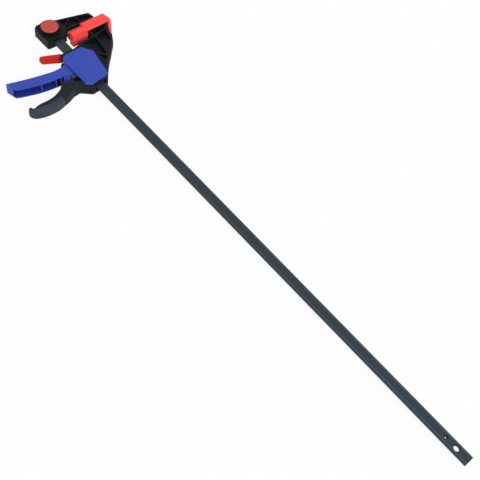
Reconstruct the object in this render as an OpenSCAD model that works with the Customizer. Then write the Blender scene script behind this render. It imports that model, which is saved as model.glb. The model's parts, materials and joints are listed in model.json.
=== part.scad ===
// Quick release bar clamp, one handed, lying on its side.
// The origin is the centre of the hang hole in the tail of the bar.
// +X runs along the bar to its tail, +Y is the way the jaws stand out,
// +Z is square to the side of the bar. The jaws are drawn closed.

/* [Bar] */
// Width of the bar, in the plane of the jaws
bar_w = 19; // [16:0.5:24]
// Thickness of the bar
bar_t = 6.4; // [5:0.1:8]
// Length of the bar
bar_len = 1106; // [500:1:1500]
// Bevel along the long edges of the bar
bar_bevel = 1.1; // [0.5:0.1:1.8]
// Diameter of the hang hole in the tail
hang_d = 10.5; // [8:0.5:12]
// Tail end to the middle of the hang hole
hang_inset = 26; // [18:1:40]
// Diameter of the stop hole
stop_d = 4.6; // [3:0.1:6]
// Hang hole to stop hole
stop_pitch = 22; // [15:1:40]

/* [Jaws] */
// Bar centre line to the tip of the moving jaw's pad
jaw_reach = 108.5; // [95:0.5:130]
// Bar centre line to the tip of the fixed jaw
fixed_reach = 88.5; // [80:0.5:110]
// Gap between the two pads as drawn
jaw_gap = 2.1; // [2.1:0.1:6]
// How far the fixed jaw's block stands ahead of the clamping face
block_lead = 6.9; // [2:0.1:9]

/* [Fixed jaw] */
// Length of the fixed jaw's block along the bar
block_len = 49.5; // [45:0.5:60]
// Thickness of the fixed jaw
fixed_t = 20; // [18:0.5:24]
// How far the block reaches below the edge of the bar
block_drop = 12.5; // [8:0.5:16]
// Width of the outer ribs of the fixed jaw
fixed_rib = 3; // [2:0.25:4]
// Thickness of the web between the fixed jaw's pockets
fixed_web = 6; // [4:0.5:10]
// Thickness of the fixed jaw's pad
fixed_pad_t = 2.8; // [2:0.1:6]

/* [Release button] */
// Diameter of the release button
button_d = 34; // [30:0.2:36]
// Travel of the release button
button_travel = 3.2; // [2.8:0.1:3.6]
// Diameter of the locking pin
lock_d = 8; // [6:0.5:9]

/* [Handle] */
// Thickness of the handle's housing and grip
body_t = 28; // [27:0.5:32]
// Thickness of the moving jaw's arm
jaw_t = 26; // [25.5:0.5:27]
// Inner length of the handle's chamber
chamber_len = 64; // [60:1:80]
// Wall behind the chamber, where the bar leaves
rear_wall = 15; // [12:0.5:20]
// Wall between the handle's side pockets
arm_web = 6; // [4:0.5:12]
// Width of the ribs in the moving jaw's pockets
arm_rib = 3; // [2.5:0.25:4]
// Radius of the rounded back of the moving jaw's arm
back_round = 8.5; // [4:0.5:10]
// Thickness of the two side covers
cover_t = 2.2; // [2:0.1:4]
// Edge bevel of the side covers
cover_bevel = 1; // [0.5:0.1:1.5]
// Bar edge to the end of the grip
grip_reach = 137; // [125:1:160]
// Thickness of the soft sleeve on the palm side of the grip
sleeve_t = 9; // [7:0.5:10]

/* [Moving jaw pad] */
// Depth of the pad's side flanges, from the clamping face
pad_depth = 23.5; // [20:0.5:26]
// Depth of the pad's foot, below its side flanges
foot_depth = 19; // [17:0.5:20]
// Full thickness of the pad
pad_t = 29; // [27.5:0.5:36]
// Thickness of the rubber at the clamping face
pad_face_t = 5; // [3:0.5:7]
// Thickness of the narrow lower part of the clamping face
pad_lip_t = 16; // [8:0.5:20]

/* [Trigger] */
// Width of the trigger's lever
trigger_t = 23; // [20:0.5:25]
// Width of the trigger's head, which straddles the bar
head_t = 17; // [15:0.5:18.5]
// Wall of the trigger's channel
trigger_wall = 2.2; // [1.6:0.1:3]
// Bar edge to the tip of the trigger
trigger_reach = 137; // [115:1:150]
// Diameter of the trigger's hinge pin
pin_d = 6; // [4:0.25:7]

/* [Plates and springs] */
// Thickness of one drive plate
drive_t = 4; // [2.5:0.25:4.5]
// Thickness of the brake lever
brake_t = 4.5; // [3:0.25:5]
// Lean of the brake lever when it holds the bar
brake_lean = 7; // [4:0.5:8]
// Wire diameter of the drive spring
drive_wire = 1.8; // [1:0.1:2]
// Wire diameter of the brake spring
brake_wire = 0.9; // [0.5:0.1:1.2]
// Wire diameter of the button spring
button_wire = 0.8; // [0.4:0.1:0.9]

/* [Clearances] */
// Clearance round the bar where something slides on it
slide_clear = 0.3; // [0.2:0.05:0.5]
// Radial clearance of the hinge pin and the locking pin
run_clear = 0.06; // [0.02:0.01:0.1]
// Gap between parts that move past each other
part_gap = 0.5; // [0.3:0.1:0.8]
// Gap between a part and the rubber that is moulded round it
mould_gap = 0.1; // [0.05:0.05:0.3]
// Gap that a spring has at each end
seat_gap = 0.2; // [0.1:0.05:0.3]

/* [Hidden] */
$fn = 48;
eps = 0.02;

// ---- bar and the places along it ----
half_w = bar_w / 2;
half_t = bar_t / 2;
tail_x = hang_inset;
head_x = tail_x - bar_len;

// ---- fixed jaw ----
socket_wall = 4;
block_x0 = head_x - socket_wall;
block_x1 = block_x0 + block_len;
clamp_x = block_x1 - block_lead;
arm_x1 = clamp_x - fixed_pad_t;
fixed_h = fixed_t / 2;
button_r = button_d / 2;
button_x = block_x0 + button_r + 4.4;
collar_r = button_r + 1.9;
collar_z = fixed_h + 6.3;
ring_r = button_r + 5;
ring_z = fixed_h + 1.8;
button_top = fixed_h + 8.7;
button_h = 4.7;
recess_z = button_top - button_h - button_travel - part_gap;
leg_y0 = half_w + slide_clear + part_gap;
leg_w = 4;
leg_len = 8;
bridge_h = 2;
lock_bite = 2.6;
bridge_z = -half_t - 1.4;
chamber_r = leg_y0 + leg_w + 1.2;
boss_z = fixed_h + 3;
cap_t = 1.7;

// ---- handle: u runs from the moving clamping face to the tail ----
handle_x = clamp_x + jaw_gap;
body_h = body_t / 2;
jaw_h = jaw_t / 2;
neck_u = 40.5;
front_u = 58;
front_wall = 4;
chamber_u0 = front_u + front_wall;
chamber_u1 = chamber_u0 + chamber_len;
rear_u = chamber_u1 + rear_wall;
neck_y = half_w + 11.5;
chamber_y = half_w + 4.5;
head_y = half_w + 20.5;
low_y = -half_w - 8.5;
root_y = -half_w - 27.5;
grip_y = -half_w - grip_reach;
crotch_y = half_w + 47.5;
flange_y = crotch_y - 2.5;

// ---- trigger ----
pin_u = 79;
pin_y = half_w + 11;
pin_r = pin_d / 2;
trigger_h = trigger_t / 2;
head_r = pin_r + 5;
cheek_h = head_t / 2;
head_room = cheek_h + part_gap;
push_y = -half_w - 25.5;
trigger_y = -half_w - trigger_reach;

// ---- drive plates and spring ----
plate_u = pin_u + 21;
plate_h = 11.5;
plate_top = chamber_y - part_gap;
plate_low = -half_w - 28.5;
plate_slot = 0.35;
drive_r = norm([half_w, half_t]) + 0.4 + drive_wire / 2;
drive_u0 = plate_u + 2 * drive_t + seat_gap;
drive_u1 = chamber_u1 - seat_gap;

// ---- brake lever ----
brake_u = 50;
brake_y = neck_y + 2;
brake_h = 8;
brake_len = brake_y + half_w + 17;
notch_d = 4.5;
tongue_h = brake_h - 1.6;
tab_t = 8;
tab_top = -half_w - 10.5;
brake_coil_r = 3.2;
brake_spring_y = -half_w - 5.6;

// ---- small helpers ----
module slab(z0, z1) { translate([0, 0, z0]) linear_extrude(z1 - z0) children(); }
module handle_frame() { translate([handle_x, 0, 0]) children(); }
module along_x() { rotate([90, 0, 90]) children(); }
module both_sides() {
    children();
    mirror([0, 0, 1]) children();
}
module both_ways() {
    children();
    mirror([0, 1, 0]) children();
}

// A smooth curve through points, with n steps a span (Catmull-Rom).
function blend(a, b, c, d, t) =
    0.5 * (2 * b + (c - a) * t + (2 * a - 5 * b + 4 * c - d) * t * t + (3 * b - a - 3 * c + d) * t * t * t);
function smooth(p, n) = concat(
    [for (i = [0 : len(p) - 2]) for (k = [0 : n - 1])
        blend(p[max(i - 1, 0)], p[i], p[i + 1], p[min(i + 2, len(p) - 1)], k / n)],
    [p[len(p) - 1]]);

// A coil along +Z as one closed tube.
module coil(r, wire, length, turns, sides = 6, steps = 14) {
    last = turns * steps;
    rise = (length - wire) / last;
    rings = [for (i = [0 : last]) for (s = [0 : sides - 1])
        let (turn = 360 * i / steps, side = 360 * s / sides, q = r + wire / 2 * cos(side))
        [q * cos(turn), q * sin(turn), wire / 2 + i * rise + wire / 2 * sin(side)]];
    skin = [for (i = [0 : last - 1]) for (s = [0 : sides - 1])
        let (a = i * sides + s, b = i * sides + (s + 1) % sides)
        [a, b, b + sides, a + sides]];
    ends = [[for (s = [sides - 1 : -1 : 0]) s], [for (s = [0 : sides - 1]) last * sides + s]];
    polyhedron(rings, concat(ends, skin), convexity = 4);
}

// Outward and inward offsets of a line's points; the outer side is to the left of its run.
function run_at(p, i) =
    let (a = p[max(i - 1, 0)], b = p[min(i + 1, len(p) - 1)]) (b - a) / norm(b - a);
function inset_line(p, d) = [for (i = [0 : len(p) - 1])
    let (t = run_at(p, i), q = is_list(d) ? d[i] : d) p[i] + q * [t[1], -t[0]]];
function turned(p) = [for (i = [len(p) - 1 : -1 : 0]) p[i]];
function same(value, p) = [for (q = p) value];

// A strip behind a line, its outer edges rounded; deep, wide and r are lists, one value a point.
module round_strip(line, deep, wide, r, steps = 5) {
    arc = [for (k = [0 : steps]) 90 * k / steps];
    side = 2 * steps + 4;
    last = len(line) - 1;
    points = [for (i = [0 : last]) let (t = run_at(line, i))
        for (q = concat([[-deep[i], -wide[i]]],
                        [for (a = arc) [r[i] * (sin(a) - 1), r[i] * (1 - cos(a)) - wide[i]]],
                        [for (a = turned(arc)) [r[i] * (sin(a) - 1), wide[i] - r[i] * (1 - cos(a))]],
                        [[-deep[i], wide[i]]]))
            [line[i][0] - q[0] * t[1], line[i][1] + q[0] * t[0], q[1]]];
    skin = [for (i = [0 : last - 1]) for (k = [0 : side - 1])
        let (a = i * side + k, b = i * side + (k + 1) % side)
        each [[a, a + side, b], [b, a + side, b + side]]];
    ends = [[for (k = [0 : side - 1]) k], [for (k = [side - 1 : -1 : 0]) last * side + k]];
    polyhedron(points, concat(ends, skin), convexity = 4);
}

// ---- bar ----
module bar_section(grow = 0) {
    w = half_w + grow;
    t = half_t + grow;
    b = grow > 0 ? 0.01 : bar_bevel;
    polygon([[w - b, -t], [w, -t + b], [w, t - b], [w - b, t],
             [b - w, t], [-w, t - b], [-w, b - t], [b - w, -t]]);
}

module bar_slot(x0, x1) {
    w = bar_w + 2 * slide_clear;
    t = bar_t + 2 * slide_clear;
    translate([x0, -w / 2, -t / 2]) cube([x1 - x0, w, t]);
}

module bar() {
    color([0.26, 0.29, 0.32])
    difference() {
        translate([head_x, 0, 0]) along_x() linear_extrude(bar_len) bar_section();
        cylinder(h = bar_t + 2, d = hang_d, center = true);
        translate([-stop_pitch, 0, 0]) cylinder(h = bar_t + 2, d = stop_d, center = true);
        translate([button_x, 0, 0]) cylinder(h = bar_t + 2, d = lock_d + 2 * run_clear, center = true);
    }
}

// ---- fixed jaw ----
arm_back_x = block_x0 + 8;
arm_foot_y = half_w + 16;
tip_back_x = arm_x1 - 15.7;
step_y = half_w + 10;

module fixed_outline() {
    polygon([[block_x0, -half_w - 7.5], [block_x0 + 5, -half_w - block_drop - 1.5],
             [block_x1 - 2, -half_w - block_drop - 1], [block_x1, -half_w - 9],
             [block_x1, step_y], [arm_x1 + 1.5, step_y + 3.8], [arm_x1, step_y + 6.5],
             [arm_x1, fixed_reach + 1.5], [arm_x1 - 1.2, fixed_reach + 2.3],
             [tip_back_x + 1.8, fixed_reach],
             [tip_back_x, fixed_reach - 2], [arm_back_x, arm_foot_y], [block_x0 + 2, half_w],
             [block_x0, half_w - 6]]);
}

// Pocketed part of the fixed jaw's arm, inside its outer rib.
module fixed_pocket_area() {
    lean = (tip_back_x - arm_back_x) / (fixed_reach - arm_foot_y);
    back = function(y) arm_back_x + lean * (y - arm_foot_y) + 0.9 * fixed_rib;
    front = arm_x1 - 1.3 * fixed_rib;
    y0 = ring_r + 4.6;
    y1 = fixed_reach - 1.5 * fixed_rib;
    polygon([[back(y0), y0], [back(y0 + 24), y0 + 24], [back(y1) + fixed_rib, y1], [front - 1, y1 + 2],
             [front, y1 + 1], [front, y0 + 2], [front - 2, y0]]);
}

// One straight rib between two points.
module rib(a, b, w) {
    d = b - a;
    translate(a) rotate(atan2(d[1], d[0])) translate([0, -w / 2]) square([norm(d), w]);
}

module fixed_ribs() {
    low = [arm_x1 - 4, ring_r + 1.4];
    mid = [arm_x1 - 3, fixed_reach - 26.5];
    rib([arm_back_x + 8, arm_foot_y + 21], low, fixed_rib);
    rib([arm_back_x + 10, arm_foot_y + 32], mid, fixed_rib);
}

module pad_rail(extra = 0) {
    translate([arm_x1 - 3, step_y + 10 - extra, -2 - extra])
        cube([3 + eps, fixed_reach - step_y - 14 + 2 * extra, 4 + 2 * extra]);
}

module fixed_jaw() {
    color([0.11, 0.12, 0.13])
    difference() {
        union() {
            slab(-fixed_h, fixed_h) fixed_outline();
            translate([button_x, 0, 0]) {
                translate([0, 0, -fixed_h]) cylinder(h = ring_z + fixed_h, r = ring_r);
                cylinder(h = collar_z, r = collar_r);
                translate([0, 0, -boss_z]) cylinder(h = boss_z, r = collar_r);
            }
        }
        both_sides() slab(fixed_web / 2, collar_z + 1) difference() {
            fixed_pocket_area();
            fixed_ribs();
        }
        bar_slot(head_x - seat_gap, block_x1 + 1);
        translate([button_x, 0, 0]) {
            translate([0, 0, recess_z]) cylinder(h = collar_z, r = button_r + part_gap / 2);
            translate([0, 0, -boss_z - 1]) cylinder(h = boss_z + 1 - half_t, r = chamber_r);
            both_ways() translate([-leg_len / 2 - part_gap, leg_y0 - part_gap, -boss_z])
                cube([leg_len + 2 * part_gap, leg_w + 2 * part_gap, boss_z + recess_z + 1]);
        }
        pad_rail(run_clear);
    }
}

module fixed_jaw_pad() {
    main_h = fixed_h - 0.5;
    tongue_h = 3.2;
    tongue_y = step_y + 9;
    main_y = half_w + 46.5;
    color([0.86, 0.16, 0.16]) {
        translate([arm_x1, main_y, -main_h]) cube([fixed_pad_t, fixed_reach - 2 - main_y, 2 * main_h]);
        translate([arm_x1, tongue_y, -tongue_h]) cube([fixed_pad_t, main_y - tongue_y + eps, 2 * tongue_h]);
        pad_rail();
    }
}

// ---- release button, its locking pin and spring ----
module release_button() {
    rim = 1.2;
    dish_r = button_r - 2.4;
    color([0.80, 0.27, 0.27])
    translate([button_x, 0, 0]) {
        difference() {
            union() {
                translate([0, 0, button_top - button_h]) cylinder(h = button_h - rim, r = button_r);
                translate([0, 0, button_top - rim]) cylinder(h = rim, r1 = button_r, r2 = button_r - rim);
            }
            translate([0, 0, button_top - 0.5]) cylinder(h = 1, r = dish_r);
        }
        both_ways() translate([-leg_len / 2, leg_y0, bridge_z])
            cube([leg_len, leg_w, button_top - button_h - bridge_z + eps]);
    }
}

module lock_pin() {
    color([0.62, 0.63, 0.65])
    translate([button_x, 0, 0]) {
        translate([-leg_len / 2, -leg_y0 - leg_w, bridge_z - bridge_h])
            cube([leg_len, 2 * (leg_y0 + leg_w), bridge_h]);
        translate([0, 0, bridge_z - eps]) cylinder(h = lock_bite - half_t - bridge_z, d = lock_d);
    }
}

module button_spring() {
    z0 = -boss_z + seat_gap;
    z1 = bridge_z - bridge_h - seat_gap;
    color([0.70, 0.71, 0.73])
    translate([button_x, 0, z0]) coil(5.5, button_wire, z1 - z0, 2.5);
}

module lock_cap() {
    color([0.11, 0.12, 0.13])
    translate([button_x, 0, -boss_z - cap_t]) {
        cylinder(h = cap_t, r = collar_r - 0.6);
        difference() {
            cylinder(h = cap_t + 1.6, r = chamber_r - run_clear);
            translate([0, 0, cap_t]) cylinder(h = 2, r = leg_y0 + leg_w / 2 - 1);
            translate([0, 0, cap_t]) linear_extrude(2) square([leg_len + 4, 3 * chamber_r], center = true);
        }
    }
}

// ---- handle: outlines in the plane of the jaws ----
tip_u = 16;
shoulder = [57, jaw_reach - 18.8];
rear_top = [rear_u - 0.5, half_w + 8];
rear_low = [rear_u + 2, -half_w - 8.5];
heel = [rear_u - 14, root_y];
rim_deep = back_round + 0.5;

// An edge that a rounded strip covers: drawn inside the strip, and a little past its first end.
function behind_strip(line) =
    let (inner = inset_line(line, rim_deep - 0.3), start = 0.3 * run_at(line, 0))
    concat([line[0] + start, inner[0] + start], [for (i = [1 : len(line) - 1]) inner[i]]);

// Back edge of the moving jaw, from the pad's heel to the housing.
jaw_back = smooth([shoulder, [shoulder[0] + 12, shoulder[1] - 6.6],
    [shoulder[0] + 20, shoulder[1] - 14.2], [rear_u - 46.2, half_w + 48.6],
    [rear_u - 27.3, half_w + 30], [rear_u - 7.6, half_w + 13.6]], 3);

// Palm side of the grip between the heel and the sleeve.
upper_palm = smooth([[rear_u - 12.6, -half_w - 38.5], [rear_u - 9.8, -half_w - 44.5],
    [rear_u - 4, -half_w - 56], [rear_u + 0.8, -half_w - 71.5]], 3);

// Palm side of the grip from the sleeve's upper end to the hook.
sleeve_line = smooth([[rear_u + 0.8, -half_w - 71.5], [rear_u + 3.7, -half_w - 84],
    [rear_u + 3.7, grip_y + 36.5], [rear_u + 2.2, grip_y + 24], [rear_u - 0.4, grip_y + 15.2],
    [rear_u - 4.6, grip_y + 7.6], [rear_u - 10.2, grip_y + 2.3], [rear_u - 16.3, grip_y]], 3);

// Finger side of the grip, from the hook to the mouth of the chamber.
hook_share = 0.71;
function finger_side() = smooth([[rear_u - 9.4, grip_y + 9.8], [rear_u - 11.9, grip_y + 21.8],
    [rear_u - 11.4, grip_y + 37.5], [rear_u - 14, -half_w - 81.6], [rear_u - 21, -half_w - 65.9],
    [rear_u - 28, -half_w - 58.5], [rear_u - 35, -half_w - 52.2]], 3);
function chamber_mouth() = smooth([[rear_u - 35.5, -half_w - 49], [rear_u - 31, -half_w - 44],
    [rear_u - 24, -half_w - 36], [rear_u - 18.5, -half_w - 23.5], [chamber_u1, low_y - 8.5]], 3);

// The whole moulding in the plane of the jaws, with back as the arm's back edge.
module handle_outline(back = jaw_back) {
    under_sleeve = inset_line(sleeve_line, 1);
    foot_y = half_w + 18.5;
    leg_u0 = pad_face_t + 6;
    leg_u1 = foot_depth - 3;
    polygon(concat(
        [[pad_face_t, crotch_y - 1.5], [pad_face_t, jaw_reach - 3], [tip_u, jaw_reach - 0.3],
         [tip_u + 6, jaw_reach - 1.2], [tip_u + 29, jaw_reach - 15.2],
         [shoulder[0] - 6, shoulder[1] + 1.8], shoulder],
        back, [rear_top, rear_low, heel], behind_strip(upper_palm),
        [for (i = [1 : hook_share * sleeve_n]) under_sleeve[i]], finger_side(), chamber_mouth(),
        [[chamber_u1, chamber_y], [chamber_u0, chamber_y], [chamber_u0, low_y - 6.5],
         [front_u, low_y - 6.5], [front_u, neck_y], [neck_u, neck_y], [neck_u, crotch_y - 5],
         [neck_u - 4.5, crotch_y], [leg_u1 + 4.5, crotch_y], [leg_u1, crotch_y - 4],
         [leg_u1, foot_y], [leg_u0, foot_y], [leg_u0, crotch_y - 1.5]]));
}

// Housing and grip, which are thicker than the arm.
module housing_area() {
    polygon([[front_u - 14, half_w + 9], [front_u - 6, half_w + 14], [pin_u - 5, half_w + 25],
             [rear_u + 10, half_w + 12], [rear_u + 10, grip_y - 10], [front_u - 14, grip_y - 10]]);
}

// Cheeks ahead of the housing, on both sides of the brake lever.
module cheek_area() {
    polygon([[front_u - 14, neck_y + 1], [front_u - 12.5, half_w + 8], [front_u - 9.4, half_w - 3.5],
             [front_u - 8.8, -half_w - 14.5], [front_u - 5.5, -half_w - 18.5], [front_u + 1, -half_w - 20],
             [chamber_u0, -half_w - 20], [chamber_u0, neck_y + 1]]);
}

// ---- pockets and ribs in each side of the moving jaw ----
knot = [neck_u + 0.4, half_w + 51.6];
knot_far = [neck_u + 53.5, half_w + 42.6];
rib_h = arm_rib / 2;

// Narrow pocket behind the pad's flange.
module flange_pocket() {
    polygon([[pad_depth - 0.5, crotch_y + 3.4], [knot[0] - rib_h, crotch_y + 3.4],
             [knot[0] - 6.7 - rib_h, jaw_reach - 21], [knot[0] - 14, jaw_reach - 11.5],
             [pad_depth - 0.5, jaw_reach - 10]]);
}

// Large pocket under the ear of the pad, its floor rising towards the bar.
module ear_pocket() {
    polygon([[knot[0] + rib_h + 0.2, knot[1] + rib_h - 0.3], [knot[0] - 6.7 + rib_h, jaw_reach - 20.7],
             [knot[0] + 8, jaw_reach - 24.3], [shoulder[0] + 2, shoulder[1] - 8],
             [shoulder[0] + 9, shoulder[1] - 13.5], [knot_far[0] - 4, knot_far[1] + 4],
             knot_far + [0, rib_h]]);
}

module ear_ramp() {
    low = [knot[0] - 4, half_w + 72];
    along = knot_far - low;
    rise = atan((jaw_h - arm_web / 2) / norm(along));
    translate([low[0], low[1], arm_web / 2]) rotate([0, 0, atan2(along[1], along[0])])
        rotate([0, -rise, 0]) translate([-20, -60, 0]) cube([120, 120, 60]);
}

// Pocket under the long rib, down to the housing.
module neck_pocket() {
    polygon([knot + [rib_h + 1, -rib_h - 0.4], knot_far + [-1.5, -rib_h + 0.2],
             [front_u + 30.2, half_w + 35.8], [front_u + 21, half_w + 29.6], [front_u + 18, half_w + 25.5],
             [front_u + 3, half_w + 24.3], [front_u + 3, half_w + 19], [neck_u + 5.6, half_w + 19],
             [neck_u + 5.6, half_w + 25], [neck_u + 4.6, half_w + 32.4], [neck_u + 1, half_w + 41.2]]);
}

// Boss for the blind hole in that pocket.
module neck_boss() {
    polygon([[neck_u + 7, half_w + 18], [neck_u + 7, half_w + 26.5], [neck_u + 9, half_w + 30.7],
             [neck_u + 16.5, half_w + 30.7], [front_u + 1.6, half_w + 24.3], [front_u + 1.6, half_w + 18]]);
}

// Small pocket between the short rib and the back.
module back_pocket() {
    polygon([[pin_u + 5.6, half_w + 26], [pin_u + 11, half_w + 32], [pin_u + 17.8, half_w + 37.3],
             [pin_u + 26.5, half_w + 31.2]]);
}

module jaw_pockets() {
    deep = body_h + 1;
    slab(arm_web / 2, deep) {
        flange_pocket();
        back_pocket();
    }
    intersection() {
        slab(arm_web / 2, deep) ear_pocket();
        ear_ramp();
    }
    difference() {
        slab(arm_web / 2, deep) neck_pocket();
        slab(0, jaw_h - 3) neck_boss();
    }
    translate([neck_u + 13.2, half_w + 22.8, jaw_h - 9]) cylinder(h = 10, r = 1.3, $fn = 24);
}

// Area that the moving jaw's pad covers, above the crotch.
module pad_area() {
    polygon([[0, flange_y], [0, jaw_reach - 0.8], [1.5, jaw_reach], [tip_u, jaw_reach + 3],
             [tip_u + 7, jaw_reach + 2], [tip_u + 19, jaw_reach - 5], [tip_u + 31, jaw_reach - 13],
             [tip_u + 37.5, jaw_reach - 18.5], [tip_u + 35, jaw_reach - 19.5], [tip_u + 23, jaw_reach - 14.5],
             [tip_u + 13, jaw_reach - 9], [pad_depth + 1.5, jaw_reach - 4.5], [pad_depth, jaw_reach - 6.5],
             [pad_depth, flange_y]]);
}

// Foot of the pad, with a hollow curve out to the side flanges.
module pad_foot_area() {
    y0 = half_w + 13.5;
    flare_y = flange_y - 8.5;
    flare = [for (a = [0 : 22.5 : 90])
        [foot_depth + (pad_depth - foot_depth) * (1 - cos(a)), flare_y + 10 * sin(a)]];
    polygon(concat([[pad_face_t + 4, y0], [foot_depth, y0]], flare, [[pad_face_t + 4, flare_y + 10]]));
}

cover_pins = [[front_u + 3.5, half_w + 8.5], [rear_u - 7.5, half_w - 1], [rear_u - 9.5, -half_w - 11]];
screw_r = 1.5;
screw_head_r = 2.9;
peg_r = 2;
peg_len = 3.2;
core_h = pad_t / 2 - 2.6;

// The handle before anything is cut out of it.
module handle_solid() {
    back = concat(jaw_back, [jaw_back[len(jaw_back) - 1] + [1.5, -2.4]]);
    palm = concat(upper_palm, [sleeve_line[1]]);
    back_n = len(back) - 1;
    palm_n = len(palm) - 1;
    back_r = [for (i = [0 : back_n]) min(back_round, 1.5 + 2 * i)];
    palm_r = [for (i = [0 : palm_n]) min(sleeve_t - 0.9, 1.5 + 0.8 * i)];
    slab(-jaw_h, jaw_h) handle_outline(behind_strip(jaw_back));
    slab(-body_h, body_h) intersection() {
        handle_outline();
        housing_area();
    }
    round_strip(inset_line(back, eps), same(rim_deep, back), same(jaw_h - eps, back), back_r);
    round_strip(inset_line(palm, eps), same(rim_deep, palm), same(body_h - eps, palm), palm_r);
    both_sides() slab(brake_h + 1, body_h) cheek_area();
}

module handle_body() {
    color([0.12, 0.13, 0.14])
    handle_frame() difference() {
        handle_solid();
        // Seat of the pad, on both sides of the jaw.
        both_sides() slab(core_h - mould_gap, body_h + 1) {
            offset(delta = mould_gap) pad_area();
            offset(delta = mould_gap) pad_foot_area();
        }
        both_sides() jaw_pockets();
        // Room for the head of the trigger, above the bar.
        slab(-head_room, head_room) translate([pin_u - head_r - 6, chamber_y - eps])
            square([2 * head_r + 10, head_y - chamber_y]);
        // Palm side cut back for the sleeve.
        slab(-body_h - 1, body_h + 1) offset(delta = mould_gap) sleeve_area();
        bar_slot(front_u - 1, rear_u + 5);
        // Hollow round the bar where it leaves.
        translate([rear_u - 5, -half_w - 2, -half_t - 4.5]) cube([12, bar_w + 6, bar_t + 9]);
        translate([pin_u, pin_y, 0]) cylinder(h = body_t + 2, r = pin_r + run_clear, center = true);
        // Notch that the upper end of the brake lever rocks in.
        slab(-brake_h - part_gap, brake_h + part_gap) translate([brake_u - brake_t / 2 - 1.2, neck_y - 1])
            square([brake_t + 2.4, notch_d + 1]);
        translate([front_u - 1, brake_spring_y, 0]) rotate([0, 90, 0])
            cylinder(h = 2.5, r = brake_coil_r + brake_wire / 2 + 0.4);
        for (p = cover_pins) translate(p) {
            translate([0, 0, body_h - peg_len - 0.3]) cylinder(h = peg_len + 1, r = peg_r + run_clear);
            translate([0, 0, -body_h - 1]) cylinder(h = 9.5, r = screw_r + run_clear);
        }
    }
}

// ---- soft sleeve on the palm side ----
// It thins out along the grip and is the whole of the hook.
sleeve_n = len(sleeve_line) - 1;
sleeve_share = [[0, 1], [0.57, 0.78], [hook_share, 0.58], [0.86, 0.47], [1, 0.58]];
sleeve_deep = [for (i = [0 : sleeve_n]) sleeve_t * lookup(i / sleeve_n, sleeve_share)];
sleeve_wide = [for (i = [0 : sleeve_n]) body_h - 2 * pow(i / sleeve_n, 2) - (i == sleeve_n ? 1.5 : 0)];

module sleeve_area() {
    outer = inset_line(sleeve_line, -1);
    polygon(concat(outer, turned(inset_line(sleeve_line, sleeve_deep))));
}

module grip_sleeve() {
    color([0.20, 0.22, 0.25])
    handle_frame() round_strip(sleeve_line, sleeve_deep, sleeve_wide, [for (d = sleeve_deep) d - 0.9]);
}

// ---- moving jaw pad ----
module moving_jaw_pad() {
    lip_y0 = half_w + 14.5;
    lip_y1 = flange_y;
    color([0.88, 0.20, 0.20])
    handle_frame() difference() {
        union() {
            slab(-pad_t / 2, pad_t / 2) {
                pad_area();
                pad_foot_area();
            }
            translate([0, lip_y0, -pad_lip_t / 2])
                cube([pad_face_t + 4 + eps, lip_y1 - lip_y0 + eps, pad_lip_t]);
        }
        slab(-core_h, core_h) offset(delta = mould_gap) handle_outline();
    }
}

// ---- side covers ----
near_corner = [[rear_u + 2.5, -half_w - 10], [rear_u - 5, -half_w - 20]];
far_corner = [[rear_u + 0.3, -half_w - 7], [rear_u - 11.4, -half_w - 21]];

// Outline of a cover, with its lower rear corner as given.
module cover_outline(corner) {
    polygon(concat(
        [[front_u - 4, -half_w - 11], [front_u - 4.5, half_w + 8.5], [pin_u - 5, half_w + 22.5],
         [rear_u - 7, half_w + 12], [rear_u - 2.5, half_w + 8]], corner,
        [[front_u + 8.5, -half_w - 21], [front_u + 1.5, -half_w - 17.5]]));
}

module cover_plate(corner) {
    hull() {
        linear_extrude(cover_t - cover_bevel) cover_outline(corner);
        linear_extrude(cover_t) offset(delta = -cover_bevel) cover_outline(corner);
    }
}

module cover_left() {
    color([0.22, 0.29, 0.62])
    handle_frame() translate([0, 0, body_h]) {
        cover_plate(near_corner);
        for (p = cover_pins) translate([p[0], p[1], -peg_len]) cylinder(h = peg_len + eps, r = peg_r);
    }
}

module cover_right() {
    color([0.22, 0.29, 0.62])
    handle_frame() difference() {
        mirror([0, 0, 1]) translate([0, 0, body_h]) cover_plate(far_corner);
        for (p = cover_pins) translate([p[0], p[1], -body_h - cover_t - 1]) {
            cylinder(h = cover_t + 2, r = screw_r + 0.1);
            cylinder(h = 2.4, r = screw_head_r + 0.1);
        }
    }
}

module cover_screws() {
    color([0.55, 0.56, 0.58])
    handle_frame() for (p = cover_pins) translate([p[0], p[1], -body_h - cover_t]) difference() {
        union() {
            cylinder(h = 1.4, r = screw_head_r, $fn = 24);
            cylinder(h = cover_t + 8, r = screw_r, $fn = 24);
        }
        translate([0, 0, -eps]) cylinder(h = 0.9, r = 1.4, $fn = 6);
    }
}

// ---- trigger ----
// A place down the lever, as a share of its reach.
function down(share) = -half_w - share * trigger_reach;
trigger_front = smooth([[pin_u - 13, down(0.146)], [pin_u - 6.4, down(0.197)], [pin_u - 4.9, down(0.34)],
    [pin_u - 8.4, down(0.49)], [pin_u - 14.4, down(0.693)], [pin_u - 26.2, trigger_y]], 4);
trigger_back = smooth([[pin_u - 5.3, down(0.96)], [pin_u + 0.6, down(0.85)], [pin_u + 9.6, down(0.624)],
    [pin_u + 13.6, down(0.423)], [pin_u + 14.6, down(0.307)]], 4);
trigger_root_y = -half_w - 14;
nub_r = 3;
nub_u = plate_u - nub_r - seat_gap;

module trigger_lever_outline() {
    polygon(concat([[pin_u - 9, trigger_root_y]], trigger_front, trigger_back,
        [[pin_u + 16.5, down(0.263)], [nub_u + 1, push_y - nub_r], [nub_u, trigger_root_y]]));
}

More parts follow.
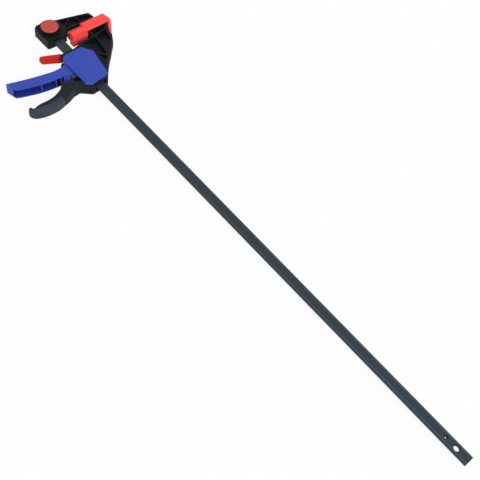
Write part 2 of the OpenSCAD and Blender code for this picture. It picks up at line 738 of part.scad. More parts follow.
// Head and cheeks that straddle the bar.
module trigger_head_outline() {
    hull() {
        translate([pin_u, pin_y]) circle(head_r);
        translate([pin_u - 9, trigger_root_y]) square([18, 1]);
    }
    polygon([[pin_u - 9, trigger_root_y], [pin_u + 9, trigger_root_y],
             [pin_u + 11, -half_w - 22], [pin_u - 9, -half_w - 22]]);
}

module trigger() {
    slot_h = half_t + slide_clear + part_gap;
    rib_w = 1.8;
    channel_y = down(0.292);
    channel_len = channel_y - trigger_y - 4;
    color([0.20, 0.27, 0.62])
    handle_frame() difference() {
        union() {
            slab(-trigger_h, trigger_h) trigger_lever_outline();
            both_sides() slab(slot_h, cheek_h) trigger_head_outline();
            translate([nub_u, push_y, 0]) cylinder(h = trigger_t, r = nub_r, center = true);
        }
        // The channel, open towards the grip, with cross ribs.
        slab(trigger_wall - trigger_h, trigger_h - trigger_wall) difference() {
            translate([trigger_wall + 0.6, 0]) intersection() {
                trigger_lever_outline();
                translate([0, channel_y - channel_len]) square([2 * pin_u, channel_len]);
            }
            for (share = [0.07, 0.18, 0.49])
                translate([0, channel_y - share * channel_len]) square([2 * pin_u, rib_w]);
        }
        translate([pin_u, pin_y, 0]) cylinder(h = head_t + 2, r = pin_r + run_clear, center = true);
    }
}

module trigger_pin() {
    color([0.66, 0.67, 0.69])
    handle_frame() translate([pin_u, pin_y, 0]) cylinder(h = body_t - 0.4, r = pin_r, center = true);
}

// ---- drive plates ----
module drive_plate(u) {
    color([0.50, 0.52, 0.54])
    handle_frame() difference() {
        translate([u, plate_low, -plate_h]) cube([drive_t - 0.05, plate_top - plate_low, 2 * plate_h]);
        translate([u - 1, -half_w - plate_slot, -half_t - plate_slot])
            cube([drive_t + 2, bar_w + 2 * plate_slot, bar_t + 2 * plate_slot]);
    }
}
module drive_plate_front() { drive_plate(plate_u); }
module drive_plate_rear() { drive_plate(plate_u + drive_t); }

module drive_spring() {
    color([0.70, 0.71, 0.73])
    handle_frame() translate([drive_u0, 0, 0]) rotate([0, 90, 0])
        coil(drive_r, drive_wire, drive_u1 - drive_u0, 4, 6, 20);
}

// ---- brake lever and its tab ----
module brake_frame() {
    handle_frame() translate([brake_u, brake_y, 0]) rotate([0, 0, -brake_lean]) children();
}

module brake_lever() {
    wide_len = (brake_y - tab_top - part_gap) / cos(brake_lean);
    slot_h = bar_w / cos(brake_lean) + brake_t * tan(brake_lean) + 3 * slide_clear;
    color([0.50, 0.52, 0.54])
    brake_frame() difference() {
        union() {
            translate([-brake_t / 2, -wide_len, -brake_h]) cube([brake_t, wide_len, 2 * brake_h]);
            translate([-brake_t / 2, -brake_len, -tongue_h]) cube([brake_t, brake_len, 2 * tongue_h]);
            cylinder(h = 2 * brake_h, r = brake_t / 2, center = true);
        }
        translate([-brake_t, -brake_y / cos(brake_lean) - slot_h / 2, -half_t - plate_slot])
            cube([2 * brake_t, slot_h, bar_t + 2 * plate_slot]);
    }
}

module tab_outline() {
    y0 = tab_top;
    y1 = -half_w - 45.5;
    u0 = 41.6;
    u1 = 25.5;
    r = 3;
    hull() {
        translate([u0, y0 - 1]) square([tab_t, 1]);
        translate([u1 + r, y1 - 1]) circle(r, $fn = 24);
        translate([u1 + tab_t - r, y1 + 1]) circle(r, $fn = 24);
    }
}

module release_tab() {
    end_r = 6;
    end_h = brake_h - 0.3;
    y1 = -half_w - 49.5;
    color([0.85, 0.20, 0.16])
    difference() {
        handle_frame() intersection() {
            slab(-brake_h - 0.5, brake_h + 0.5) tab_outline();
            // Front view with a rounded lower end.
            along_x() linear_extrude(100) hull() {
                translate([y1 + end_r + 0.5, end_h - end_r]) circle(end_r, $fn = 24);
                translate([y1 + end_r + 0.5, end_r - end_h]) circle(end_r, $fn = 24);
                translate([tab_top, -brake_h - 0.5]) square([1, 2 * brake_h + 1]);
            }
        }
        brake_frame() translate([-brake_t / 2 - run_clear, -brake_len - run_clear, -tongue_h - run_clear])
            cube([brake_t + 2 * run_clear, brake_len, 2 * (tongue_h + run_clear)]);
    }
}

module brake_spring() {
    back = brake_u + (brake_spring_y - brake_y) * tan(brake_lean) + brake_t / 2 / cos(brake_lean);
    u0 = back + (brake_coil_r + brake_wire) * tan(brake_lean) + seat_gap;
    u1 = front_u + 1.5 - seat_gap;
    color([0.70, 0.71, 0.73])
    handle_frame() translate([u0, brake_spring_y, 0]) rotate([0, 90, 0])
        coil(brake_coil_r, brake_wire, u1 - u0, 4.5);
}

bar();
fixed_jaw();
fixed_jaw_pad();
release_button();
lock_pin();
button_spring();
lock_cap();
handle_body();
grip_sleeve();
moving_jaw_pad();
cover_left();
cover_right();
cover_screws();
trigger();
trigger_pin();
drive_plate_front();
drive_plate_rear();
drive_spring();
brake_lever();
release_tab();
brake_spring();
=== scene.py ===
"""Looks of a quick release bar clamp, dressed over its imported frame."""

import json
import math

import bmesh
import bpy
from bpy.props import FloatProperty, FloatVectorProperty, PointerProperty
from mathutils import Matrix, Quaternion, Vector


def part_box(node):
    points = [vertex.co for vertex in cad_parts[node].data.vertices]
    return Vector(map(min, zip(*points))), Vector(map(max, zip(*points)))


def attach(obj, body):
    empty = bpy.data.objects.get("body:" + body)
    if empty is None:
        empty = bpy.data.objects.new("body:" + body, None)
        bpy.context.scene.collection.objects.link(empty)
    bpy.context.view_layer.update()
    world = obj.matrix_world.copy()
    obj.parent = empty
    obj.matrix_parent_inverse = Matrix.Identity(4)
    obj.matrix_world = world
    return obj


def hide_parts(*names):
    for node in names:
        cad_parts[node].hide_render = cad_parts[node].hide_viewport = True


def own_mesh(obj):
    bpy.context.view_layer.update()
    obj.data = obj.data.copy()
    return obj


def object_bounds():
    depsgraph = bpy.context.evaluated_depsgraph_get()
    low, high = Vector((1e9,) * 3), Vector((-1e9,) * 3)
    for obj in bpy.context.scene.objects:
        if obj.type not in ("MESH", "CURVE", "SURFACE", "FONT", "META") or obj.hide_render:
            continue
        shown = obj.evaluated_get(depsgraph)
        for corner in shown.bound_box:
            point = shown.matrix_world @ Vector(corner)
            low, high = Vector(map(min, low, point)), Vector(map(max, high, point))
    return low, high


bl_info = {
    "name": "Quick release bar clamp",
    "version": (1, 0, 0),
    "blender": (4, 5, 0),
    "location": "View3D > Sidebar > Clamp",
    "description": "Dresses a one-handed bar clamp with its finishes and sets the stage",
    "category": "Object",
}

MM = 0.001
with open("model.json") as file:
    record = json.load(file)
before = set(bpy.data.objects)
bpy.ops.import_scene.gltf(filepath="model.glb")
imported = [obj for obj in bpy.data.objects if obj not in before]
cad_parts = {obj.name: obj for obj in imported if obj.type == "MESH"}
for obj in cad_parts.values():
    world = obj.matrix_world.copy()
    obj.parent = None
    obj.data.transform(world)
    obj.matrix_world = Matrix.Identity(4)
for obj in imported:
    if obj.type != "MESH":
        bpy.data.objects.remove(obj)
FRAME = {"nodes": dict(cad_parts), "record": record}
CAD_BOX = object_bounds()
NODES = FRAME["nodes"]

# ---- fixed sizes ----
# Corners closer than WELD are one corner, and faces that turn by less than FLAT_ANGLE are one face
WELD = 0.002 * MM
FLAT_ANGLE = math.radians(0.3)
# Edges that turn by more than this are rounded
EDGE_ANGLE = math.radians(28)
# How much large faces count in the shading, where 50 is neutral
NORMALS_WEIGHT = 60
# Depth of the moulded grain, and how light a plastic's darkest painted shade is against its colour
GRAIN = 0.03 * MM
SHADE_SHARE = 0.22
# Bands along the bar's long edges, for painted bounce light on the sides, a painted shade band and a
# painted highlight on the bevels: how far inside the edge each starts, and how softly
BAR_SIDE = (0.3 * MM, 0.15 * MM)
BAR_BORDER = (1.9 * MM, 0.4 * MM)
BAR_BEVEL = (3.8 * MM, 0.8 * MM)
# The painted bands along the bar's edges grow stronger towards its tail: from this X, over this length,
# both in metres
BANDS_GROW_FROM = -0.95
BANDS_GROW_OVER = 0.8
# The painted shade in a bore, with the ring of burrs round it, reaches this far past the hole and fades
# over this width
BURR_REACH = 0.5 * MM
BURR_SOFT = 0.9 * MM
# The moving pad's foot reaches this high above the pad's low Y side
FOOT_HEIGHT = 31 * MM
# Its back lies this far from the pad's low X side: before its draft, then on the side away from
# the button, then at least on the button's side
FOOT_BACK = (18 * MM, 21 * MM)
FOOT_BACK_FAR = 21.3 * MM
FOOT_BACK_NEAR = 19.7 * MM
# Its end is lifted this much on the button's side
FOOT_LIFT = 0.9 * MM
# A corner this close to a side of its piece lies on that side
AT_SIDE = 0.1 * MM
# Where the light of each lamp comes from, and how wide it is
LAMPS = {
    "front": (0.74, -0.20, 0.64),
    "side": (-0.50, -0.15, 0.85),
    "back": (0.10, 0.72, 0.69),
}
LAMP_SPREAD = math.radians(24)
# The floor: half its width and its gap below the clamp in metres, how light its paper is, and the
# share of plain white that the camera sees in its place
FLOOR_REACH = 3.0
FLOOR_GAP = 0.2 * MM
FLOOR_PAPER = 0.9
FLOOR_WHITE = 0.9
# Colour of the background
WHITE = (1, 1, 1, 1)
# Width of the camera's sensor in millimetres, and the distances in metres between which it sees
SENSOR = 36
CLIP = (0.05, 20)


# ---- sizes and colours that a user would change ----
def colour_property(name, description, default):
    """A colour property with the given default."""
    return FloatVectorProperty(
        name=name, description=description, subtype="COLOR", size=3, min=0, max=1, default=default
    )


def length_property(name, description, default_mm):
    """A length property, its default given in millimetres."""
    return FloatProperty(
        name=name, description=description, unit="LENGTH", min=0, default=default_mm * MM, precision=5
    )


class ClampColours(bpy.types.PropertyGroup):
    """Colours of the clamp's materials."""

    steel: colour_property("Bar", "Oxide grey of the bar", (0.0250, 0.0345, 0.0420))
    black: colour_property("Black plastic", "Moulded jaws and handle", (0.0046, 0.0058, 0.0080))
    sleeve: colour_property("Grip sleeve", "Soft sleeve on the palm side", (0.018, 0.024, 0.038))
    pad: colour_property("Jaw pads", "Red rubber of the pads", (0.91, 0.070, 0.063))
    button: colour_property("Release button", "Red plastic of the button", (0.48, 0.070, 0.070))
    tab: colour_property("Release tab", "Red plastic of the tab", (0.52, 0.013, 0.008))
    blue: colour_property("Blue plastic", "Covers and trigger", (0.036, 0.064, 0.385))
    plate: colour_property(
        "Plates", "Blackened steel of the drive plates and the brake", (0.060, 0.070, 0.074)
    )
    zinc: colour_property("Zinc steel", "Pins, screws and springs", (0.42, 0.43, 0.44))


class ClampEdges(bpy.types.PropertyGroup):
    """How far the edges of the pieces are rounded."""

    moulding: length_property("Mouldings", "Rounding of the black mouldings", 0.7)
    cover: length_property("Covers", "Rounding of the covers, trigger, button and cap", 0.45)
    rubber: length_property("Rubber", "Rounding of the pads, the sleeve and the tab", 0.8)
    metal: length_property("Metal", "Rounding of the bar, plates, pins and screws", 0.25)


class ClampStage(bpy.types.PropertyGroup):
    """Camera and light."""

    camera_place: FloatVectorProperty(
        name="Camera place", description="Where the camera stands", subtype="TRANSLATION",
        size=3, default=(-0.0315, -0.6198, 1.1407),
    )
    camera_target: FloatVectorProperty(
        name="Camera target", description="Point that the camera looks at", subtype="TRANSLATION",
        size=3, default=(-0.4795, -0.0170, 0.0),
    )
    camera_roll: FloatProperty(
        name="Camera roll", description="Turn of the camera about its view line", subtype="ANGLE",
        default=math.radians(14.08),
    )
    lens: FloatProperty(
        name="Lens", description="Focal length in millimetres on a 36 mm sensor", default=60.13
    )
    fill: FloatProperty(name="Fill light", description="Strength of the even light", default=0.22)
    front: FloatProperty(
        name="Front lamp", description="Strength of the lamp at the tail's side", default=3.1
    )
    side: FloatProperty(
        name="Side lamp", description="Strength of the lamp at the jaws' end", default=0.4
    )
    back: FloatProperty(
        name="Back lamp", description="Strength of the lamp behind the jaws", default=0.4
    )


# ---- shader expressions ----
class Value:
    """A shader socket that can stand in a Python expression."""

    def __init__(self, finish, socket):
        self.finish = finish
        self.socket = socket

    def math(self, operation, *others):
        """A Math node on this value and the others."""
        return self.finish.add("ShaderNodeMath", {"operation": operation}, [self, *others])

    def __add__(self, other):
        return self.math("ADD", other)

    def __sub__(self, other):
        return self.math("SUBTRACT", other)

    def __rsub__(self, other):
        return self.finish.add("ShaderNodeMath", {"operation": "SUBTRACT"}, [other, self])

    def __mul__(self, other):
        return self.math("MULTIPLY", other)

    def __abs__(self):
        return self.math("ABSOLUTE")

    def above(self, level, soft):
        """0 below level, 1 above level + soft, smooth between."""
        return self.finish.add(
            "ShaderNodeMapRange", {"interpolation_type": "SMOOTHSTEP"},
            {"Value": self, "From Min": level, "From Max": level + soft},
        )

    __radd__ = __add__
    __rmul__ = __mul__


class Finish:
    """One material, or the world, and the nodes that make it."""

    def __init__(self, name, owner=None):
        self.owner = owner or bpy.data.materials.new(name)
        self.owner.use_nodes = True
        self.tree = self.owner.node_tree
        self.tree.nodes.clear()
        self.place = None if owner else self.add("ShaderNodeTexCoord", {}, {}, "Object")

    def add(self, kind, settings, sockets, output=0):
        """A node of that kind: its settings first, then the values or links of its sockets."""
        node = self.tree.nodes.new(kind)
        for key, value in settings.items():
            setattr(node, key, value)
        pairs = sockets.items() if isinstance(sockets, dict) else enumerate(sockets)
        for key, value in pairs:
            if isinstance(value, Value):
                self.tree.links.new(value.socket, node.inputs[key])
            else:
                node.inputs[key].default_value = value
        return Value(self, node.outputs[output]) if node.outputs else None

    def stretched(self, scale):
        """Object coordinates scaled along each axis."""
        return self.add("ShaderNodeVectorMath", {"operation": "MULTIPLY"}, [self.place, scale])

    def noise(self, per_metre, detail, rough=0.55, place=None):
        """Soft random pattern from 0 to 1, with that many cells a metre."""
        return self.add(
            "ShaderNodeTexNoise", {},
            {"Vector": place or self.place, "Scale": per_metre, "Detail": detail, "Roughness": rough},
        )

    def axis(self, name):
        """One object coordinate, in metres."""
        return self.add("ShaderNodeSeparateXYZ", {}, [self.place], name)

    def lines(self, per_metre, across, level):
        """Thin random scratches: that many cells a metre along them, and across them."""
        return self.noise(1.0, 2.0, 0.5, self.stretched((per_metre, across, across))).above(level, 0.03)

    def worn_edges(self, reach):
        """1 on the rounded outer edges, 0 on the flats."""
        flat = self.add("ShaderNodeNewGeometry", {}, {}, "Normal")
        soft = self.add("ShaderNodeBevel", {"samples": 4}, {"Radius": reach})
        facing = self.add("ShaderNodeVectorMath", {"operation": "DOT_PRODUCT"}, [flat, soft], "Value")
        return (1 - facing).above(0.015, 0.12)

    def open_share(self, reach):
        """1 on open faces, falling to 0 deep in the pockets."""
        return self.add(
            "ShaderNodeAmbientOcclusion", {"samples": 6, "only_local": True}, {"Distance": reach}, "AO"
        )

    def mix(self, factor, a, b):
        """Colour a at 0, colour b at 1."""
        return self.add("ShaderNodeMix", {"data_type": "RGBA"}, {0: factor, 6: a, 7: b}, 2)

    def bump(self, height, distance):
        """A normal from a height in 0 to 1 and its depth in metres."""
        return self.add("ShaderNodeBump", {}, {"Height": height, "Distance": distance, "Strength": 1.0})

    def surface(self, **sockets):
        """Ends the material with a Principled shader."""
        named = {key.replace("_", " "): value for key, value in sockets.items()}
        shader = self.add("ShaderNodeBsdfPrincipled", {}, named)
        self.add("ShaderNodeOutputMaterial", {}, {"Surface": shader})
        return self.owner


def rgba(colour, gain=1.0):
    """A colour property as four numbers, made lighter or darker by gain."""
    return (*[min(1.0, channel * gain) for channel in colour], 1.0)


# ---- materials ----
def moulded_plastic(
    name, colour, roughness=0.46, specular=0.2, wear=1.7, pocket_shade=0.5, depth=9 * MM, coarse_from=None
):
    """Moulded plastic: spark-eroded grain, flow marks, rubbed edges and painted shade in the pockets.

    Rubbed edges are wear times as light. A place shut in by faces within depth gets painted shade,
    darker by the share that the caller gives. Where Y lies below coarse_from the grain is coarser,
    which makes it paler.
    """
    f = Finish(name)
    spark = f.noise(2400, 2.0)
    flow = f.noise(24, 3.0)
    handled = f.noise(85, 4.0).above(0.48, 0.2)
    open_face = f.open_share(depth)
    rubbed = f.worn_edges(0.8 * MM) * open_face * f.noise(240, 4.0).above(0.40, 0.22)
    scuffs = f.lines(45, 1500, 0.66) * f.noise(60, 2.0).above(0.52, 0.1)
    tone = f.mix(flow, rgba(colour, 0.86), rgba(colour, 1.14))
    deep = [channel * SHADE_SHARE * math.sqrt(channel / max(colour)) for channel in colour]
    if coarse_from is not None:
        coarse = (f.axis("Y") * -1).above(-coarse_from, 30 * MM)
        tone = f.mix(coarse, tone, rgba(colour, 2.4))
        spark = spark * (1 + coarse)
    # Painted shade, darkest where the faces shut a place in most
    tone = f.mix((1 - open_face) * pocket_shade, tone, rgba(deep))
    tone = f.mix(rubbed * 0.45 + scuffs * 0.3, tone, rgba(colour, wear))
    return f.surface(
        Base_Color=tone,
        Roughness=roughness + spark * 0.12 - handled * 0.06 - rubbed * 0.08,
        Normal=f.bump(spark * (1 - handled * 0.5) - scuffs * 0.6, GRAIN),
        Specular_IOR_Level=specular,
    )


def black_plastic(name, colours, coarse_from=None):
    """Plastic of the black mouldings, whose rubbed edges turn pale."""
    return moulded_plastic(name, colours.black, specular=0.1, wear=4.0, coarse_from=coarse_from)


def rubber(name, colour, roughness=0.55, pore_depth=0.03 * MM):
    """Soft elastomer: dull sheen, fine pores, faint clouds, rubbed edges and painted shade in its
    hollows.
    """
    f = Finish(name)
    pores = f.noise(1700, 3.0)
    cloud = f.noise(38, 3.0)
    open_face = f.open_share(6 * MM)
    rubbed = f.worn_edges(1.0 * MM) * f.noise(180, 3.0).above(0.36, 0.3)
    smudge = f.noise(75, 5.0, 0.65).above(0.60, 0.12)
    tone = f.mix(cloud, rgba(colour, 0.92), rgba(colour, 1.08))
    # Painted shade in the hollows
    tone = f.mix((1 - open_face) * 0.2, tone, rgba(colour, 0.45))
    tone = f.mix(rubbed * 0.25, tone, rgba(colour, 1.5))
    tone = f.mix(smudge * 0.10, tone, rgba(colour, 0.5))
    return f.surface(
        Base_Color=tone,
        Roughness=roughness + pores * 0.14 + smudge * 0.08,
        Normal=f.bump(pores, pore_depth),
        Specular_IOR_Level=0.25,
        Sheen_Weight=0.08,
        Sheen_Roughness=0.5,
    )


def bar_oxide(name, colour):
    """Rolled steel under dark oxide: streaks and scratches, painted light and shade in bands along its
    edges, and painted shade in its bores with dark burrs round them.
    """
    f = Finish(name)
    _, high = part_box("bar")
    along, across = f.axis("X"), abs(f.axis("Y"))
    streaks = f.noise(1.0, 5.0, 0.6, f.stretched((14, 900, 900)))
    patches = f.noise(22, 4.0)
    scratches = f.lines(20, 1800, 0.68) * patches.above(0.45, 0.2)
    bites = f.lines(2600, 90, 0.69) * f.noise(15, 2.0).above(0.50, 0.1)
    side, border, bevel_in = [
        across.above(high.y - inside, soft) for inside, soft in (BAR_SIDE, BAR_BORDER, BAR_BEVEL)
    ]
    bevel = bevel_in - border
    # Strength of the painted bands: weaker near the head, growing towards the tail
    handled = 0.3 + along.above(BANDS_GROW_FROM, BANDS_GROW_OVER) * 0.7
    # Painted highlight along the bevels, broken up in patches, with real scratches added
    highlight_and_wear = bevel * handled * (0.35 + patches * 0.6) + scratches * 0.4
    holes = [mount for mount in FRAME["record"]["mounts"] if mount["kind"] == "bore"]
    bore_shade_and_burr = sum(hole_shade_and_burr(f, along, across, hole) for hole in holes)
    tone = f.mix(streaks, rgba(colour, 0.82), rgba(colour, 1.2))
    tone = f.mix(highlight_and_wear * 0.8, tone, rgba(colour, 3.6))
    # Painted shade in a band just inside each long edge
    tone = f.mix((border - side) * handled * 0.5, tone, rgba(colour, 0.25))
    # Painted bounce light on the side faces
    tone = f.mix(side * (0.1 + handled * 0.7), tone, rgba(colour, 2.4))
    # Painted shade in the bores, with dark burrs round them
    tone = f.mix(bore_shade_and_burr, tone, rgba(colour, 0.04))
    return f.surface(
        Base_Color=tone,
        Metallic=0.35,
        Roughness=0.40 + streaks * 0.14 + patches * 0.08 - highlight_and_wear * 0.1,
        Normal=f.bump(streaks * 0.6 - scratches * 0.5 - bites * 0.7, 0.03 * MM),
        Specular_IOR_Level=0.25,
    )


def hole_shade_and_burr(f, along, across, hole):
    """1 in a bore of the record on the bar's middle line, whose walls get painted shade, and on the ring
    of burrs round it.
    """
    beside = along - hole["pos_m"][0]
    away = f.add("ShaderNodeMath", {"operation": "SQRT"}, [beside * beside + across * across])
    return 1 - away.above(hole["dims"]["r_mm"] * MM + BURR_REACH, BURR_SOFT)


def worked_steel(name, colour):
    """Stamped or drawn steel: fine brushing, cloudy plating and rubbed edges."""
    f = Finish(name)
    brushed = f.noise(1.0, 4.0, 0.6, f.stretched((2600, 140, 900)))
    cloud = f.noise(70, 3.0)
    rubbed = f.worn_edges(0.4 * MM) * f.noise(300, 3.0).above(0.4, 0.2)
    tone = f.mix(cloud, rgba(colour, 0.82), rgba(colour, 1.15))
    tone = f.mix(rubbed * 0.5, tone, rgba(colour, 1.9))
    return f.surface(
        Base_Color=tone,
        Metallic=0.9,
        Roughness=0.34 + brushed * 0.14 + cloud * 0.06 - rubbed * 0.08,
        Normal=f.bump(brushed, 0.01 * MM),
    )


# ---- edges of the carried-over pieces ----
def dress(node, material, rounding, segments=2):
    """Gives a CAD node its material, true flat faces and rounded edges."""
    piece = NODES[node]
    piece.data.materials.clear()
    piece.data.materials.append(material)
    for polygon in piece.data.polygons:
        polygon.use_smooth = True
    weld = piece.modifiers.new("Weld", "WELD")
    weld.merge_threshold = WELD
    flats = piece.modifiers.new("Flats", "DECIMATE")
    flats.decimate_type = "DISSOLVE"
    flats.angle_limit = FLAT_ANGLE
    bevel = piece.modifiers.new("Rounding", "BEVEL")
    bevel.width = rounding
    bevel.segments = segments
    bevel.limit_method = "ANGLE"
    bevel.angle_limit = EDGE_ANGLE
    bevel.use_clamp_overlap = True
    bevel.harden_normals = False
    weigh_normals(piece)


def weigh_normals(piece):
    """Shades the flats as flat and the rounded edges as round."""
    normals = piece.modifiers.new("Normals", "WEIGHTED_NORMAL")
    normals.keep_sharp = True
    normals.weight = NORMALS_WEIGHT


# ---- soft pieces of their own ----
def clean_faces(node):
    """The faces of a CAD node as a bmesh, its doubles welded and its flats joined."""
    bm = bmesh.new()
    bm.from_mesh(NODES[node].data)
    bmesh.ops.remove_doubles(bm, verts=bm.verts, dist=WELD)
    bmesh.ops.dissolve_limit(bm, angle_limit=FLAT_ANGLE, verts=bm.verts, edges=bm.edges)
    return bm


def round_edges(bm, width):
    """Rounds the outer edges that turn by more than EDGE_ANGLE."""
    sharp = [edge for edge in bm.edges if edge.is_convex and edge.calc_face_angle() > EDGE_ANGLE]
    bmesh.ops.bevel(
        bm, geom=sharp, offset=width, offset_type="OFFSET", segments=3, profile=0.5,
        affect="EDGES", clamp_overlap=True,
    )


def soft_piece(name, bm, node, body, material):
    """An object of its own for a soft solid, which it replaces."""
    for face in bm.faces:
        face.smooth = True
    bmesh.ops.recalc_face_normals(bm, faces=bm.faces)
    mesh = bpy.data.meshes.new(name)
    bm.to_mesh(mesh)
    bm.free()
    mesh.materials.append(material)
    piece = bpy.data.objects.new(name, mesh)
    bpy.context.scene.collection.objects.link(piece)
    weigh_normals(piece)
    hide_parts(node)
    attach(piece, body)
    return piece


def spring(node, body, along, wire):
    """A coil of its own in place of a CAD spring, on the given body."""
    for joint in FRAME["record"]["behaviour"]["joints"]:
        for row in joint.get("deforming_nodes", []):
            if row["node"] == node:
                fixed_end, moving = row["fixed_end_z_m"], joint
    low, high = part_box(node)
    if moving["type"] == "hinge":
        arm = moving["pos_m"][1] - (low.y + high.y) / 2
        travel = math.radians(moving["range_deg"][1]) * arm
    else:
        travel = moving["range_m"][1]
    length = (high - low).dot(Vector(along))
    piece = soft_piece(node.capitalize(), clean_faces(node), node, body, wire)
    1 - travel / length
    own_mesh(piece)


# ---- operators ----
class PieceOperator:
    """What the operators of the pieces share."""

    bl_options = {"REGISTER", "UNDO"}

    def execute(self, context):
        self.build(context.scene.clamp_colours, context.scene.clamp_edges)
        return {"FINISHED"}


class CLAMP_OT_bar(PieceOperator, bpy.types.Operator):
    """Dress the steel bar"""

    bl_idname = "clamp.bar"
    bl_label = "Bar"

    def build(self, colours, edges):
        dress("bar", bar_oxide("Bar oxide", colours.steel), edges.metal)


class CLAMP_OT_fixed_jaw(PieceOperator, bpy.types.Operator):
    """Dress the fixed jaw, its cap and its pad"""

    bl_idname = "clamp.fixed_jaw"
    bl_label = "Fixed jaw"

    def build(self, colours, edges):
        black = black_plastic("Fixed jaw plastic", colours)
        dress("fixed_jaw", black, edges.moulding)
        dress("lock_cap", black, edges.cover)
        bm = clean_faces("fixed_jaw_pad")
        round_edges(bm, edges.rubber)
        soft = rubber("Fixed pad rubber", colours.pad)
        soft_piece("Fixed_pad", bm, "fixed_jaw_pad", "bar_and_fixed_jaw", soft)


class CLAMP_OT_button(PieceOperator, bpy.types.Operator):
    """Dress the release button, its locking pin and its spring"""

    bl_idname = "clamp.button"
    bl_label = "Release button"

    def build(self, colours, edges):
        dress("release_button", moulded_plastic("Button plastic", colours.button), edges.cover)
        zinc = worked_steel("Pin steel", colours.zinc)
        dress("lock_pin", zinc, edges.metal)
        spring("button_spring", "bar_and_fixed_jaw", (0, 0, 1), zinc)


class CLAMP_OT_handle(PieceOperator, bpy.types.Operator):
    """Dress the handle moulding and its sleeve"""

    bl_idname = "clamp.handle"
    bl_label = "Handle"

    def build(self, colours, edges):
        black = black_plastic("Handle plastic", colours, coarse_from=-14 * MM)
        dress("handle_body", black, edges.moulding)
        bm = clean_faces("grip_sleeve")
        round_edges(bm, edges.rubber)
        soft = rubber("Sleeve rubber", colours.sleeve, roughness=0.6, pore_depth=0.05 * MM)
        soft_piece("Grip_sleeve", bm, "grip_sleeve", "handle", soft)


class CLAMP_OT_moving_pad(PieceOperator, bpy.types.Operator):
    """Dress the moving jaw's pad"""

    bl_idname = "clamp.moving_pad"
    bl_label = "Moving jaw pad"

    def build(self, colours, edges):
        bm = clean_faces("moving_jaw_pad")
        self.slope_foot(bm)
        round_edges(bm, edges.rubber)
        soft = rubber("Moving pad rubber", colours.pad)
        soft_piece("Moving_pad", bm, "moving_jaw_pad", "handle", soft)

    def slope_foot(self, bm):
        """Drafts the back and the end of the foot, which taper towards the button's side."""
        low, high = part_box("moving_jaw_pad")
        for vertex in bm.verts:
            place = vertex.co
            near = place.z > high.z - AT_SIDE
            far = place.z < low.z + AT_SIDE
            back, height = place.x - low.x, place.y - low.y
            if height < FOOT_HEIGHT and FOOT_BACK[0] < back < FOOT_BACK[1]:
                if far:
                    place.x = low.x + FOOT_BACK_FAR
                elif near:
                    place.x = low.x + max(back, FOOT_BACK_NEAR)
            if near and height < AT_SIDE:
                place.y += FOOT_LIFT


class CLAMP_OT_covers(PieceOperator, bpy.types.Operator):
    """Dress the side covers and their screws"""

    bl_idname = "clamp.covers"
    bl_label = "Covers"

    def build(self, colours, edges):
        blue = moulded_plastic("Cover plastic", colours.blue, roughness=0.38)
        dress("cover_left", blue, edges.cover)
        dress("cover_right", blue, edges.cover)
        dress("cover_screws", worked_steel("Screw steel", colours.zinc), edges.metal)


class CLAMP_OT_trigger(PieceOperator, bpy.types.Operator):
    """Dress the trigger and its pin"""

    bl_idname = "clamp.trigger"
    bl_label = "Trigger"

    def build(self, colours, edges):
        # The trigger's deep channel gets strong painted shade
        blue = moulded_plastic(
            "Trigger plastic", colours.blue, roughness=0.38, pocket_shade=0.95, depth=26 * MM
        )
        dress("trigger", blue, edges.cover)
        dress("trigger_pin", worked_steel("Hinge pin steel", colours.zinc), edges.metal)


class CLAMP_OT_plates(PieceOperator, bpy.types.Operator):
    """Dress the drive plates, the brake lever, its tab and the springs"""

    bl_idname = "clamp.plates"
    bl_label = "Plates and springs"

    def build(self, colours, edges):
        dark = worked_steel("Plate steel", colours.plate)
        for node in ("drive_plate_front", "drive_plate_rear", "brake_lever"):
            dress(node, dark, edges.metal)
        wire = worked_steel("Spring wire", colours.zinc)
        for node in ("drive_spring", "brake_spring"):
            spring(node, "handle", (1, 0, 0), wire)
        red = moulded_plastic("Tab plastic", colours.tab, roughness=0.4)
        dress("release_tab", red, edges.rubber, segments=3)


def soft_lamp(name, direction, strength):
    """Even soft light that comes from a direction."""
    data = bpy.data.lights.new(name, "SUN")
    data.energy = strength
    data.angle = LAMP_SPREAD
    lamp = bpy.data.objects.new(name, data)
    lamp.location = direction
    lamp.rotation_mode = "QUATERNION"
    lamp.rotation_quaternion = Vector(direction).to_track_quat("Z", "Y")
    bpy.context.scene.collection.objects.link(lamp)


def sees_background(finish):
    """1 for a ray of the camera, a reflection or a view through something clear."""
    seen = 0.0
    for ray in ("Is Camera Ray", "Is Glossy Ray", "Is Transmission Ray"):
        found = finish.add("ShaderNodeLightPath", {}, {}, ray)
        seen = finish.add("ShaderNodeMath", {"operation": "MAXIMUM"}, [seen, found])
    return seen


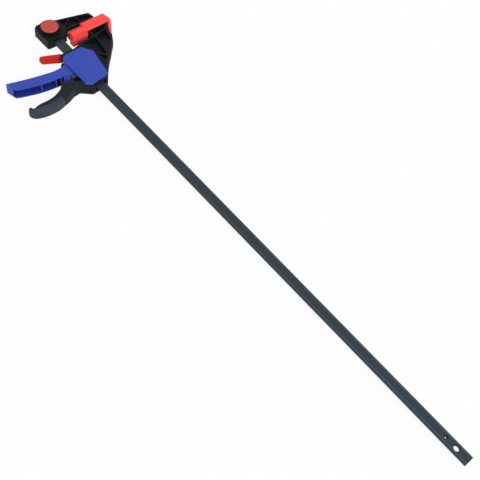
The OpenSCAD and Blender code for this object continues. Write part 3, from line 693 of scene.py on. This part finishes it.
class CLAMP_OT_stage(bpy.types.Operator):
    """Set the floor, the lamps, the world and the camera"""

    bl_idname = "clamp.stage"
    bl_label = "Stage"
    bl_options = {"REGISTER", "UNDO"}

    def execute(self, context):
        stage = context.scene.clamp_stage
        low, high = CAD_BOX
        middle = (low + high) / 2
        self.floor(context, low.z - FLOOR_GAP, middle)
        self.world(context, stage.fill)
        for name, direction in LAMPS.items():
            soft_lamp(f"{name.capitalize()} lamp", direction, getattr(stage, name))
        self.camera(context, stage)
        context.scene.view_settings.view_transform = "Standard"
        return {"FINISHED"}

    def floor(self, context, height, middle):
        """A sheet of paper under the clamp that takes its shadow and looks nearly white."""
        mesh = bpy.data.meshes.new("Floor")
        bm = bmesh.new()
        bmesh.ops.create_grid(bm, x_segments=1, y_segments=1, size=FLOOR_REACH)
        bm.to_mesh(mesh)
        bm.free()
        floor = bpy.data.objects.new("Floor", mesh)
        floor.location = (middle.x, middle.y, height)
        context.scene.collection.objects.link(floor)
        f = Finish("Floor paper")
        paper = f.add("ShaderNodeBsdfDiffuse", {}, {"Color": (*[FLOOR_PAPER] * 3, 1)})
        white = f.add("ShaderNodeEmission", {}, {"Color": WHITE, "Strength": 1.0})
        seen = f.add("ShaderNodeMixShader", {}, [sees_background(f) * FLOOR_WHITE, paper, white])
        f.add("ShaderNodeOutputMaterial", {}, {"Surface": seen})
        mesh.materials.append(f.owner)

    def world(self, context, strength):
        """White for the camera and reflections, and a weaker even light on the clamp."""
        world = bpy.data.worlds.new("Studio")
        context.scene.world = world
        f = Finish("Studio", world)
        even = f.add("ShaderNodeBackground", {}, {"Color": WHITE, "Strength": strength})
        white = f.add("ShaderNodeBackground", {}, {"Color": WHITE, "Strength": 1.0})
        backdrop = f.add("ShaderNodeMixShader", {}, [sees_background(f), even, white])
        f.add("ShaderNodeOutputWorld", {}, {"Surface": backdrop})

    def camera(self, context, stage):
        """The scene's camera, aimed at its target and rolled about its view line."""
        data = bpy.data.cameras.new("Camera")
        data.sensor_width = SENSOR
        data.lens = stage.lens
        data.clip_start, data.clip_end = CLIP
        camera = bpy.data.objects.new("Camera", data)
        place = Vector(stage.camera_place)
        camera.location = place
        camera.rotation_mode = "QUATERNION"
        aim = (Vector(stage.camera_target) - place).to_track_quat("-Z", "Y")
        camera.rotation_quaternion = aim @ Quaternion((0, 0, 1), stage.camera_roll)
        context.scene.collection.objects.link(camera)
        context.scene.camera = camera


class CLAMP_PT_panel(bpy.types.Panel):
    """Lists the pieces, their colours and the stage."""

    bl_idname = "CLAMP_PT_panel"
    bl_label = "Bar clamp"
    bl_space_type = "VIEW_3D"
    bl_region_type = "UI"
    bl_category = "Clamp"

    def draw(self, context):
        for group in (context.scene.clamp_colours, context.scene.clamp_edges, context.scene.clamp_stage):
            box = self.layout.box()
            for name in group.bl_rna.properties.keys():
                if name not in {"rna_type", "name"}:
                    box.prop(group, name)
        for operator in OPERATORS:
            self.layout.operator(operator.bl_idname)


GROUPS = (
    ("clamp_colours", ClampColours),
    ("clamp_edges", ClampEdges),
    ("clamp_stage", ClampStage),
)
OPERATORS = (
    CLAMP_OT_bar,
    CLAMP_OT_fixed_jaw,
    CLAMP_OT_button,
    CLAMP_OT_handle,
    CLAMP_OT_moving_pad,
    CLAMP_OT_covers,
    CLAMP_OT_trigger,
    CLAMP_OT_plates,
    CLAMP_OT_stage,
)


def register():
    for name, group in GROUPS:
        bpy.utils.register_class(group)
        setattr(bpy.types.Scene, name, PointerProperty(type=group))
    for operator in OPERATORS:
        bpy.utils.register_class(operator)
    bpy.utils.register_class(CLAMP_PT_panel)


def unregister():
    bpy.utils.unregister_class(CLAMP_PT_panel)
    for operator in reversed(OPERATORS):
        bpy.utils.unregister_class(operator)
    for name, group in reversed(GROUPS):
        delattr(bpy.types.Scene, name)
        bpy.utils.unregister_class(group)


def main():
    """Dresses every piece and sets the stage."""
    register()
    for operator in OPERATORS:
        group, name = operator.bl_idname.split(".")
        getattr(getattr(bpy.ops, group), name)()


if __name__ == "__main__":
    main()
